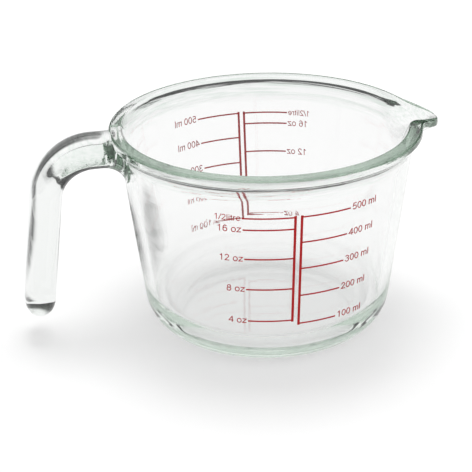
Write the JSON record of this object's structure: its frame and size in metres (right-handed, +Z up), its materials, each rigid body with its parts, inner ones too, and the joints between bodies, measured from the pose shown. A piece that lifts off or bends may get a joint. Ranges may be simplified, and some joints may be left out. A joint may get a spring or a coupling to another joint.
{
  "type": "measuring jug",
  "caption": "Clear glass measuring jug with a flared rim, a pouring spout, an open handle and red enamel scales on two sides.",
  "frame": {"origin": "centre of the flat base, on the table, on the bowl's axis", "axes": "+Z up along the bowl's axis, +X towards the spout, -X towards the handle, -Y towards the front print"},
  "size_m": [0.1753, 0.127, 0.0868],
  "materials": {
    "glass": "clear pressed soda-lime glass, fire-polished, faint green where it is thick",
    "enamel": "fired red enamel print, satin"
  },
  "bodies": {
    "root": {"glass_bowl": "glass", "glass_handle": "glass", "front_millilitre_scale": "enamel", "front_ounce_scale": "enamel", "back_millilitre_scale": "enamel", "back_ounce_scale": "enamel"}
  },
  "joints": []
}
